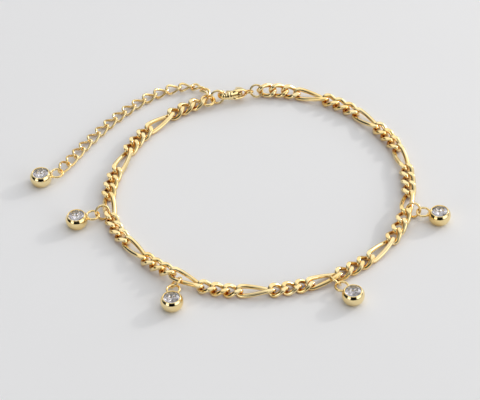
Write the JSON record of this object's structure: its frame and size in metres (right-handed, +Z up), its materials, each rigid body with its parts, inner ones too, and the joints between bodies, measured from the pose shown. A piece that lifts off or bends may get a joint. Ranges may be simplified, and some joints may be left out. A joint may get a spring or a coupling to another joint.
{
  "type": "charm anklet",
  "caption": "Gold-tone figaro chain anklet with a lobster clasp, a thin extension chain and small round bezel-set clear stone charms, lying closed in a loop.",
  "frame": {"origin": "on the table, under the middle of the whole anklet's box", "axes": "+X from the extension's end to the opposite charm, +Y from the front of the loop to the clasp, +Z up from the table"},
  "size_m": [0.0984, 0.081, 0.0038],
  "materials": {
    "gold": "polished, gold plated",
    "stone": "polished, brilliant cut"
  },
  "bodies": {
    "anklet": {"chain_right": "gold", "chain_left": "gold", "end_ring": "gold", "catch_ring": "gold", "clasp_ring": "gold", "clasp_body": "gold", "extension_chain": "gold", "setting_1": "gold", "setting_2": "gold", "setting_3": "gold", "setting_4": "gold", "setting_5": "gold", "stone_1": "stone", "stone_2": "stone", "stone_3": "stone", "stone_4": "stone", "stone_5": "stone", "charm_ring_2": "gold", "charm_ring_3": "gold", "charm_ring_4": "gold", "charm_ring_5": "gold"},
    "lever": {"clasp_lever": "gold"}
  },
  "joints": [
    {"name": "lever_hinge", "type": "hinge", "parent": "anklet", "child": "lever", "pos_m": [0.00185, 0.0347, 0.00187], "axis": [-0.0164, 0.4081, 0.9128], "range_deg": [0, 24], "stiffness_Nm_per_rad": 0.01}
  ]
}
